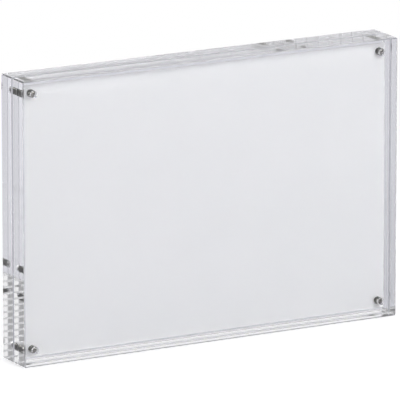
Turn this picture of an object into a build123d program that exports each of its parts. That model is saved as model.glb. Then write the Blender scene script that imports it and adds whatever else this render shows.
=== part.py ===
from build123d import *
import os
from math import radians, tan

# Acrylic block frame for one landscape picture, in millimetres.
# Two clear panes stand back to back and magnets in their corners clamp a picture card between them.
# X runs along the long side, Y from the front to the back and Z up from the surface it stands on.
# The origin is on that surface, under the middle of the block.

# Picture card, with a film of air between it and each pane
card_width = 150
card_height = 100
card_thickness = 0.3
air_film = 0.05

# Panes, sawn from cast acrylic sheet and polished on every face, a margin wider than the card
card_margin = 2.5
pane_thickness = 8.25
edge_break = 0.4

# Rod magnets with tumbled edges, one near each corner of each pane
magnet_diameter = 2.5
magnet_length = 5
magnet_edge_break = 0.2
magnet_inset = 5.4

# Blind bores for the magnets, drilled from each pane's inner face and opened out at the mouth for glue
bore_clearance = 0.04
bore_end_gap = 0.15
bore_mouth_break = 0.1
drill_point_angle = 118

# Sleeve of clear glue round each magnet, which stops short of the pocket of air under it
glue_film = 0.1
glue_reach = 3.8

# Places that follow from the sizes above
pane_width = card_width + 2 * card_margin
pane_height = card_height + 2 * card_margin
middle_height = pane_height / 2
inner_face = card_thickness / 2 + air_film
corner_x = pane_width / 2 - magnet_inset
corner_z = pane_height / 2 - magnet_inset
magnet_radius = magnet_diameter / 2
mouth_radius = magnet_radius + glue_film
bore_radius = magnet_radius + bore_clearance
bore_depth = magnet_length + bore_end_gap
bore_tip = bore_depth + bore_radius / tan(radians(drill_point_angle / 2))

# Half sections about a bore's axis: how far out, and how deep from the pane's inner face
magnet_section = [
    (0, 0),
    (magnet_radius - magnet_edge_break, 0),
    (magnet_radius, magnet_edge_break),
    (magnet_radius, magnet_length - magnet_edge_break),
    (magnet_radius - magnet_edge_break, magnet_length),
    (0, magnet_length),
]
bore_section = [
    (0, 0),
    (mouth_radius + bore_mouth_break, 0),
    (mouth_radius, bore_mouth_break),
    (mouth_radius, glue_reach),
    (bore_radius, glue_reach),
    (bore_radius, bore_depth),
    (0, bore_tip),
]
glue_section = [
    (magnet_radius, magnet_edge_break),
    (mouth_radius, magnet_edge_break),
    (mouth_radius, glue_reach),
    (magnet_radius, glue_reach),
]

# Which way each pane lies from the card, and where each corner lies from the middle
sides = {"front": -1, "back": 1}
corners = {
    "top_left": (-1, 1),
    "top_right": (1, 1),
    "bottom_left": (-1, -1),
    "bottom_right": (1, -1),
}


def bore_centre(side, corner):
    """The middle of a bore's mouth, on the pane's inner face."""
    across, up = corners[corner]
    return (across * corner_x, sides[side] * inner_face, middle_height + up * corner_z)


def half_section(side, corner):
    """The plane that a bore's half section is drawn on: x out from its axis, y down its depth."""
    return Plane(origin=bore_centre(side, corner), x_dir=(1, 0, 0), z_dir=(0, 0, sides[side]))


def bore_axis(side, corner):
    """The line down the middle of a bore, into the pane."""
    return Axis(bore_centre(side, corner), (0, sides[side], 0))


os.makedirs("parts", exist_ok=True)

# Panes: a bevelled block with four stepped and drill-pointed bores, whose mouths are just broken
for side in sides:
    inner_plane = Plane(
        origin=(0, sides[side] * inner_face, middle_height),
        x_dir=(-sides[side], 0, 0),
        z_dir=(0, sides[side], 0),
    )
    with BuildPart() as pane:
        with BuildSketch(inner_plane):
            Rectangle(pane_width, pane_height)
        extrude(amount=pane_thickness)
        chamfer(pane.edges(), length=edge_break)
        for corner in corners:
            with BuildSketch(half_section(side, corner)):
                with BuildLine():
                    Polyline(bore_section, close=True)
                make_face()
            revolve(axis=bore_axis(side, corner), mode=Mode.SUBTRACT)
    pane.part.label = f"{side}_pane"
    export_step(pane.part, f"parts/{side}_pane.step")

# Picture card: a plain sheet, halfway up the panes and halfway between them
card_plane = Plane(origin=(0, 0, middle_height), x_dir=(1, 0, 0), z_dir=(0, -1, 0))
with BuildPart() as picture_card:
    with BuildSketch(card_plane):
        Rectangle(card_width, card_height)
    extrude(amount=card_thickness / 2, both=True)
picture_card.part.label = "picture_card"
export_step(picture_card.part, "parts/picture_card.step")

# Magnets: plated rods with broken end edges, the outer end flush with the pane's inner face
for side in sides:
    for corner in corners:
        with BuildPart() as magnet:
            with BuildSketch(half_section(side, corner)):
                with BuildLine():
                    Polyline(magnet_section, close=True)
                make_face()
            revolve(axis=bore_axis(side, corner))
        magnet.part.label = f"{side}_magnet_{corner}"
        export_step(magnet.part, f"parts/{side}_magnet_{corner}.step")

# Glue: a clear sleeve in the wide part of the bore, against the magnet's side and the bore's wall
for side in sides:
    for corner in corners:
        with BuildPart() as glue:
            with BuildSketch(half_section(side, corner)):
                with BuildLine():
                    Polyline(glue_section, close=True)
                make_face()
            revolve(axis=bore_axis(side, corner))
        glue.part.label = f"{side}_glue_{corner}"
        export_step(glue.part, f"parts/{side}_glue_{corner}.step")
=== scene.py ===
import math

import bmesh
import bpy
from mathutils import Matrix, Vector


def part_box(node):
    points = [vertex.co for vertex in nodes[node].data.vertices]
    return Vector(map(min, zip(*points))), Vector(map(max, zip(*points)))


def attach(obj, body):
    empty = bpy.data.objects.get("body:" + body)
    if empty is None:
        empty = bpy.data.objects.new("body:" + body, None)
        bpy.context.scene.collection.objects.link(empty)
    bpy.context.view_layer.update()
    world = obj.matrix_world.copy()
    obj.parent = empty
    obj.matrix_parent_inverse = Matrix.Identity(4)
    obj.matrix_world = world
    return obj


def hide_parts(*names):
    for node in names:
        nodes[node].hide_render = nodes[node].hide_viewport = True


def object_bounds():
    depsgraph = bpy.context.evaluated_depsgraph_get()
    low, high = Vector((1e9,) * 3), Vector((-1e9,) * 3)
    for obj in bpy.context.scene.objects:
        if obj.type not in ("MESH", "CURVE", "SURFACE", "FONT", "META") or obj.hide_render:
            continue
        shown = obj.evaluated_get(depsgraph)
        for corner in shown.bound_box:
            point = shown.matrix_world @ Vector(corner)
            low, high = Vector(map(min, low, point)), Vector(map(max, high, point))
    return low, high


# An acrylic block frame: two clear panes with a picture card between them, held by magnets in the corners.
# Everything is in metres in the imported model's own frame: X along the block, Y to the back, Z up.
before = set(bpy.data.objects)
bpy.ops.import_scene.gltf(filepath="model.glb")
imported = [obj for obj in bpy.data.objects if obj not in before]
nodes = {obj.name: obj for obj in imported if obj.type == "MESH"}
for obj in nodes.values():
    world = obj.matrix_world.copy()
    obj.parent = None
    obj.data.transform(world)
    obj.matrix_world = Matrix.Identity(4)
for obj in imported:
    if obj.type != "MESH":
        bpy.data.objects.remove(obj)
cad_low, cad_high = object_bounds()

# Panes
# Two blocks of clear cast acrylic. Their large faces are the cast sheet's own, as smooth as glass. The
# narrow sides are milled and buffed clear, the edges scraped, and four blind bores are drilled in each.
MM = 0.001
SIDES = ("front", "back")
CORNERS = ("top_left", "top_right", "bottom_left", "bottom_right")
ACRYLIC_IOR = 1.49
ACRYLIC_TINT = "#fdfdfe"


def linear(hex_colour):
    """An sRGB hex colour as linear RGBA."""
    shares = [int(hex_colour[i : i + 2], 16) / 255 for i in (1, 3, 5)]
    return [s / 12.92 if s <= 0.04045 else ((s + 0.055) / 1.055) ** 2.4 for s in shares] + [1]


def add_node(tree, kind, settings=None, inputs=None):
    """Adds a node with its settings, and its inputs by name or place: a value, or another node's output."""
    node = tree.nodes.new(kind)
    for name, value in (settings or {}).items():
        setattr(node, name, value)
    for name, value in (inputs or {}).items():
        if isinstance(value, bpy.types.NodeSocket):
            tree.links.new(value, node.inputs[name])
        else:
            node.inputs[name].default_value = value
    return node


def new_finish(name):
    """A new material with an empty tree."""
    material = bpy.data.materials.new(name)
    material.use_nodes = True
    material.node_tree.nodes.clear()
    return material, material.node_tree


def clear_finish(name, tint, ior, marks, detail, roughness, depth=0):
    """A see-through finish: lengths of its marks along X, Y and Z, least and most roughness, and depth."""
    material, tree = new_finish(name)
    place = add_node(tree, "ShaderNodeTexCoord").outputs["Object"]
    per_metre = [1 / length for length in marks]
    stretched = add_node(tree, "ShaderNodeMapping", {}, {"Vector": place, "Scale": per_metre})
    pattern = add_node(
        tree, "ShaderNodeTexNoise", {}, {"Vector": stretched.outputs[0], "Scale": 1, "Detail": detail}
    )
    least, most = roughness
    polish = add_node(
        tree, "ShaderNodeMapRange", {}, {"Value": pattern.outputs[0], "To Min": least, "To Max": most}
    )
    shader = add_node(
        tree,
        "ShaderNodeBsdfPrincipled",
        {},
        {
            "Base Color": linear(tint),
            "Roughness": polish.outputs[0],
            "IOR": ior,
            "Transmission Weight": 1,
        },
    )
    if depth:
        raised = add_node(
            tree, "ShaderNodeBump", {}, {"Height": pattern.outputs[0], "Strength": 1, "Distance": depth}
        )
        tree.links.new(raised.outputs[0], shader.inputs["Normal"])
    add_node(tree, "ShaderNodeOutputMaterial", {}, {"Surface": shader.outputs[0]})
    return material


# Cast acrylic, as it comes off the glass that it was cast on: no roughness to see, and only the slow,
# faint wave of the sheet in what it reflects.
CASTING_WAVE = 40 * MM
CASTING_DEPTH = 0.004 * MM
cast_acrylic = clear_finish(
    "cast_acrylic_sheet_face", ACRYLIC_TINT, ACRYLIC_IOR, [CASTING_WAVE] * 3, 1, (0, 0.012), CASTING_DEPTH
)

# The same acrylic where it was milled and buffed: clear, but drawn by the buffing wheel into faint lines
# that run along each side. Real ones are finer, and these are as coarse as they need to be to show.
BUFFING_LINE = 0.8 * MM
BUFFING_RUN = 30 * MM
BUFFING_DEPTH = 0.0001 * MM
buffed_acrylic = clear_finish(
    "buffed_acrylic_side",
    ACRYLIC_TINT,
    ACRYLIC_IOR,
    (BUFFING_RUN, BUFFING_LINE, BUFFING_RUN),
    2,
    (0, 0.03),
    BUFFING_DEPTH,
)

# The bore's wall, wetted by glue that bends light as the acrylic does, so that the wall all but vanishes.
# Only a faint mottle, left by the drill, stays in its tint.
DRILL_MOTTLE = 0.8 * MM
glued_acrylic, tree = new_finish("acrylic_wetted_by_glue")
place = add_node(tree, "ShaderNodeTexCoord").outputs["Object"]
mottle = add_node(tree, "ShaderNodeTexNoise", {}, {"Vector": place, "Scale": 1 / DRILL_MOTTLE, "Detail": 1})
ramp = add_node(tree, "ShaderNodeValToRGB", {}, {"Fac": mottle.outputs[0]})
ramp.color_ramp.elements[0].color = linear("#eef0f2")
ramp.color_ramp.elements[1].color = linear("#ffffff")
shader = add_node(
    tree,
    "ShaderNodeBsdfPrincipled",
    {},
    {"Base Color": ramp.outputs["Color"], "Roughness": 0, "IOR": 1, "Transmission Weight": 1},
)
add_node(tree, "ShaderNodeOutputMaterial", {}, {"Surface": shader.outputs[0]})

# The end of the bore beyond the glue, as the drill left it: satin, with a pocket of air behind it.
DRILL_MARK = 0.3 * MM
drilled_acrylic = clear_finish(
    "drilled_acrylic_bore_end", ACRYLIC_TINT, ACRYLIC_IOR, [DRILL_MARK] * 3, 2, (0.05, 0.2)
)

# The narrow bevels, scraped by hand and left satin, with a grey tint that is painted shade: it draws the
# block with grey lines. The outer bevel along the front pane's foot has a darker tint, a painted shadow
# line.
SCRAPER_MARK = 3 * MM
scraped_bevel_painted_shade, foot_bevel_painted_shadow = (
    clear_finish(name, tint, ACRYLIC_IOR, [SCRAPER_MARK] * 3, 2, (0.25, 0.45))
    for name, tint in (("scraped_acrylic_bevel_painted_shade", "#cbccd0"), ("acrylic_foot_bevel_painted_shadow", "#5c5d62"))
)

# Each face of a pane gets its finish by where it lies and which way it looks.
WALL_REACH = 0.02 * MM
FLAT = 0.999
DOWNWARD = -0.5
finishes = [cast_acrylic, buffed_acrylic, glued_acrylic, drilled_acrylic, scraped_bevel_painted_shade, foot_bevel_painted_shadow]
for side in SIDES:
    pane = nodes[f"{side}_pane"]
    pane_low, pane_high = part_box(f"{side}_pane")
    inner_y = pane_high[1] if side == "front" else pane_low[1]
    middle_depth = (pane_high[1] - pane_low[1]) / 2
    glues = [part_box(f"{side}_glue_{corner}") for corner in CORNERS]
    axes = [((low[0] + high[0]) / 2, (low[2] + high[2]) / 2) for low, high in glues]
    glue_low, glue_high = glues[0]
    mouth_radius = (glue_high[0] - glue_low[0]) / 2
    glue_reach = max(abs(glue_low[1] - inner_y), abs(glue_high[1] - inner_y))
    pane.data.materials.clear()
    for finish in finishes:
        pane.data.materials.append(finish)
    for face in pane.data.polygons:
        centre = face.center
        depth = abs(centre.y - inner_y)
        in_bore = min(math.hypot(centre.x - x, centre.z - z) for x, z in axes) < mouth_radius + WALL_REACH
        if in_bore and depth > glue_reach + WALL_REACH:
            finish = drilled_acrylic
        elif in_bore and depth > WALL_REACH:
            finish = glued_acrylic
        elif abs(face.normal.y) > FLAT:
            finish = cast_acrylic
        elif max(abs(share) for share in face.normal) > FLAT:
            finish = buffed_acrylic
        # The front pane's outer foot bevel gets the darker tint, a painted shadow line along the bottom
        # edge.
        elif side == "front" and face.normal.z < DOWNWARD and depth > middle_depth:
            finish = foot_bevel_painted_shadow
        else:
            finish = scraped_bevel_painted_shade
        face.material_index = finishes.index(finish)

# Glue
# A sleeve of clear adhesive holds each magnet in the wide mouth of its bore. It sets as clear as the
# acrylic, and stops short of the pocket of air under the magnet. Light reaches it through the acrylic,
# so its IOR is only the small step between the two.
GLUE_RIPPLE = 0.6 * MM
GLUE_STEP = 1.01
clear_glue = clear_finish("set_clear_adhesive", "#f3f3ee", GLUE_STEP, [GLUE_RIPPLE] * 3, 2, (0, 0.25))
for side in SIDES:
    for corner in CORNERS:
        glue = nodes[f"{side}_glue_{corner}"]
        glue.data.materials.clear()
        glue.data.materials.append(clear_glue)

# Magnets
# Sintered neodymium rods, tumbled to round their edges and then plated with nickel. The plating is
# bright but thin, and takes on the grain of the rod under it, which is drawn coarser than a real one.
EDGE_ROUND = 0.25 * MM
PLATING_GRAIN = 0.15 * MM
PIT_DEPTH = 0.004 * MM
TURNS = 96
ARC_STEPS = 8

nickel, tree = new_finish("nickel_plating_on_tumbled_rod")
place = add_node(tree, "ShaderNodeTexCoord").outputs["Object"]
grain = add_node(tree, "ShaderNodeTexNoise", {}, {"Vector": place, "Scale": 1 / PLATING_GRAIN, "Detail": 3})
pitted = add_node(
    tree, "ShaderNodeBump", {}, {"Height": grain.outputs[0], "Strength": 0.5, "Distance": PIT_DEPTH}
)
dull = add_node(
    tree, "ShaderNodeMapRange", {}, {"Value": grain.outputs[0], "To Min": 0.08, "To Max": 0.2}
)
ramp = add_node(tree, "ShaderNodeValToRGB", {}, {"Fac": grain.outputs[0]})
ramp.color_ramp.elements[0].color = linear("#85827e")
ramp.color_ramp.elements[1].color = linear("#9d9a95")
shader = add_node(
    tree,
    "ShaderNodeBsdfPrincipled",
    {},
    {
        "Base Color": ramp.outputs["Color"],
        "Metallic": 1,
        "Roughness": dull.outputs[0],
        "Normal": pitted.outputs[0],
    },
)
add_node(tree, "ShaderNodeOutputMaterial", {}, {"Surface": shader.outputs[0]})


def turned_rod(low, high, edge):
    """A rod along Y that fills a box, with its two end edges rounded."""
    middle = (Vector(low) + Vector(high)) / 2
    radius, half = (high[0] - low[0]) / 2, (high[1] - low[1]) / 2
    bend = [k / ARC_STEPS * math.pi / 2 for k in range(ARC_STEPS + 1)]
    near = [(radius - edge + edge * math.sin(a), -half + edge - edge * math.cos(a)) for a in bend]
    outline = [(radius - 2 * edge, -half)] + near
    outline += [(r, -y) for r, y in reversed(outline)]
    rod = bmesh.new()
    rings = []
    angles = [2 * math.pi * k / TURNS for k in range(TURNS)]
    for r, y in outline:
        ring = [Vector((r * math.cos(a), y, r * math.sin(a))) for a in angles]
        rings.append([rod.verts.new(middle + point) for point in ring])
    for ring, following in zip(rings, rings[1:]):
        for k in range(TURNS):
            rod.faces.new((ring[k - 1], ring[k], following[k], following[k - 1]))
    rod.faces.new(rings[0])
    rod.faces.new(rings[-1])
    bmesh.ops.recalc_face_normals(rod, faces=rod.faces)
    for face in rod.faces:
        face.smooth = True
    return rod


for side in SIDES:
    for corner in CORNERS:
        node = f"{side}_magnet_{corner}"
        mesh = bpy.data.meshes.new(f"plated_rod_{side}_{corner}")
        rod = turned_rod(*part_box(node), EDGE_ROUND)
        rod.to_mesh(mesh)
        rod.free()
        mesh.materials.append(nickel)
        magnet = bpy.data.objects.new(f"plated_rod_{side}_{corner}", mesh)
        bpy.context.scene.collection.objects.link(magnet)
        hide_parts(node)
        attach(magnet, f"{side}_block")

# Picture card
# A plain sheet of white matt card stands in for the picture, cut a little smaller than the panes. It is
# matt all over, faintly cloudy in colour, with a tooth drawn coarser than its fibres so that it shows.
CARD_FIBRE = 0.5 * MM
CARD_CLOUD = 25 * MM
CARD_TOOTH = 0.02 * MM

matt_card, tree = new_finish("matt_coated_card")
place = add_node(tree, "ShaderNodeTexCoord").outputs["Object"]
cloud = add_node(tree, "ShaderNodeTexNoise", {}, {"Vector": place, "Scale": 1 / CARD_CLOUD, "Detail": 4})
fibre = add_node(tree, "ShaderNodeTexNoise", {}, {"Vector": place, "Scale": 1 / CARD_FIBRE, "Detail": 4})
ramp = add_node(tree, "ShaderNodeValToRGB", {}, {"Fac": cloud.outputs[0]})
ramp.color_ramp.elements[0].color = linear("#ecedec")
ramp.color_ramp.elements[1].color = linear("#f1f1f0")
tooth = add_node(
    tree, "ShaderNodeBump", {}, {"Height": fibre.outputs[0], "Strength": 0.3, "Distance": CARD_TOOTH}
)
shine = add_node(
    tree, "ShaderNodeMapRange", {}, {"Value": fibre.outputs[0], "To Min": 0.5, "To Max": 0.7}
)
shader = add_node(
    tree,
    "ShaderNodeBsdfPrincipled",
    {},
    {"Base Color": ramp.outputs["Color"], "Roughness": shine.outputs[0], "Normal": tooth.outputs[0]},
)
add_node(tree, "ShaderNodeOutputMaterial", {}, {"Surface": shader.outputs[0]})
card = nodes["picture_card"]
card.data.materials.clear()
card.data.materials.append(matt_card)

# Studio floor
# A pale paper sweep just under the block. The camera sees it lifted to white, with the block's shadow.
FLOOR_REACH = 3
FLOOR_DROP = 0.1 * MM
FLOOR_LIFT = 0.53
SHADOW_REACH, WHITE_FROM = 0.1, 0.35

sweep, tree = new_finish("pale_paper_sweep")
paper = add_node(tree, "ShaderNodeBsdfDiffuse", {}, {"Color": linear("#dadadf")})
shadowed = add_node(tree, "ShaderNodeBsdfDiffuse", {}, {"Color": linear("#c4c4c6")})
white = add_node(tree, "ShaderNodeEmission", {}, {"Color": linear("#ffffff"), "Strength": 1})
lift = add_node(tree, "ShaderNodeEmission", {}, {"Color": linear("#ffffff"), "Strength": FLOOR_LIFT})
lifted = add_node(tree, "ShaderNodeAddShader", {}, {0: shadowed.outputs[0], 1: lift.outputs[0]})
spot = add_node(tree, "ShaderNodeNewGeometry").outputs["Position"]
away = add_node(tree, "ShaderNodeVectorMath", {"operation": "LENGTH"}, {0: spot})
fade = add_node(
    tree,
    "ShaderNodeMapRange",
    {"interpolation_type": "SMOOTHSTEP"},
    {"Value": away.outputs["Value"], "From Min": SHADOW_REACH, "From Max": WHITE_FROM},
)
seen = add_node(
    tree, "ShaderNodeMixShader", {}, {0: fade.outputs[0], 1: lifted.outputs[0], 2: white.outputs[0]}
)
rays = add_node(tree, "ShaderNodeLightPath")
floor_shader = add_node(
    tree,
    "ShaderNodeMixShader",
    {},
    {0: rays.outputs["Is Camera Ray"], 1: paper.outputs[0], 2: seen.outputs[0]},
)
add_node(tree, "ShaderNodeOutputMaterial", {}, {"Surface": floor_shader.outputs[0]})

sheet = bmesh.new()
bmesh.ops.create_grid(sheet, x_segments=1, y_segments=1, size=FLOOR_REACH)
bmesh.ops.translate(sheet, verts=sheet.verts, vec=(0, 0, -FLOOR_DROP))
mesh = bpy.data.meshes.new("studio_floor")
sheet.to_mesh(mesh)
sheet.free()
mesh.materials.append(sweep)
floor = bpy.data.objects.new("studio_floor", mesh)
bpy.context.scene.collection.objects.link(floor)

# Studio light
# A pale room with a bright ceiling and backdrop, a dark flag behind and one in front that draw the
# block's edges, a softbox in front and a weaker one behind. What hangs in the room is given by the way
# to its middle, the cosines from that at which it begins and is full, and its tone.
ROOM = (0.55, 0.55, 0.56, 1)
HUNG = (
    (Vector((0, 0, 1)), 0.3, 0.9, 0.85),  # ceiling
    (Vector((0.45, 0.86, 0.24)), 0.85, 0.97, 0.92),  # backdrop
    (Vector((-0.5, 0.83, 0.25)), 0.93, 0.965, 0.2),  # flag behind
    (Vector((0.45, -0.86, 0.24)), 0.93, 0.965, 0.34),  # flag in front
)
SOFTBOXES = (("front_softbox", (0.14, -0.79, 0.52), 2.95), ("back_softbox", (0.05, 0.7, 0.85), 1.3))
SOFTBOX_SIDE = 0.28
LIT_SPOT = Vector((0, 0, 0.05))
studio = bpy.data.worlds.new("studio")
bpy.context.scene.world = studio
studio.use_nodes = True
tree = studio.node_tree
tree.nodes.clear()
direction = add_node(tree, "ShaderNodeTexCoord").outputs["Generated"]
walls = ROOM
for middle, outer, inner, tone in HUNG:
    beside = add_node(tree, "ShaderNodeVectorMath", {"operation": "DOT_PRODUCT"}, {0: direction, 1: middle})
    share = add_node(
        tree,
        "ShaderNodeMapRange",
        {"interpolation_type": "SMOOTHSTEP"},
        {"Value": beside.outputs["Value"], "From Min": outer, "From Max": inner},
    )
    hung = add_node(
        tree,
        "ShaderNodeMix",
        {"data_type": "RGBA"},
        {0: share.outputs[0], 6: walls, 7: (tone, tone, tone, 1)},
    )
    walls = hung.outputs[2]
rays = add_node(tree, "ShaderNodeLightPath")
sky = add_node(
    tree,
    "ShaderNodeMix",
    {"data_type": "RGBA"},
    {0: rays.outputs["Is Camera Ray"], 6: walls, 7: linear("#ffffff")},
)
light = add_node(tree, "ShaderNodeBackground", {}, {"Color": sky.outputs[2], "Strength": 1})
add_node(tree, "ShaderNodeOutputWorld", {}, {"Surface": light.outputs[0]})

for name, where, energy in SOFTBOXES:
    softbox = bpy.data.objects.new(name, bpy.data.lights.new(name, "AREA"))
    bpy.context.scene.collection.objects.link(softbox)
    softbox.data.size = SOFTBOX_SIDE
    softbox.data.energy = energy
    softbox.location = where
    aim = softbox.location - LIT_SPOT
    softbox.rotation_euler = aim.to_track_quat("Z", "Y").to_euler()
    softbox.visible_camera = False

# Camera
# A long lens from the left and a little above, as in the photograph.
AZIMUTH, ELEVATION = math.radians(-29.248), math.radians(13.55)
DISTANCE = 2.4362
LENS = 603.7
ASIDE, ABOVE = -0.67 * MM, -1.294 * MM
towards_camera = Vector(
    (
        math.sin(AZIMUTH) * math.cos(ELEVATION),
        -math.cos(AZIMUTH) * math.cos(ELEVATION),
        math.sin(ELEVATION),
    )
)
rightwards = Vector((0, 0, 1)).cross(towards_camera).normalized()
upwards = towards_camera.cross(rightwards)
camera = bpy.data.objects.new("camera", bpy.data.cameras.new("camera"))
bpy.context.scene.collection.objects.link(camera)
camera.data.lens = LENS
middle = Vector((0, 0, (cad_low[2] + cad_high[2]) / 2))
place = middle + rightwards * ASIDE + upwards * ABOVE + towards_camera * DISTANCE
turn = Matrix((rightwards, upwards, towards_camera)).transposed().to_4x4()
camera.matrix_world = Matrix.Translation(place) @ turn
bpy.context.scene.camera = camera

# Light in thick clear blocks bounces many times before it leaves them.
BOUNCES = 64
scene = bpy.context.scene
scene.view_settings.view_transform = "Standard"
scene.cycles.max_bounces = BOUNCES
scene.cycles.transmission_bounces = BOUNCES
scene.cycles.glossy_bounces = BOUNCES
scene.cycles.transparent_max_bounces = BOUNCES
scene.cycles.sample_clamp_indirect = 0
scene.cycles.blur_glossy = 0
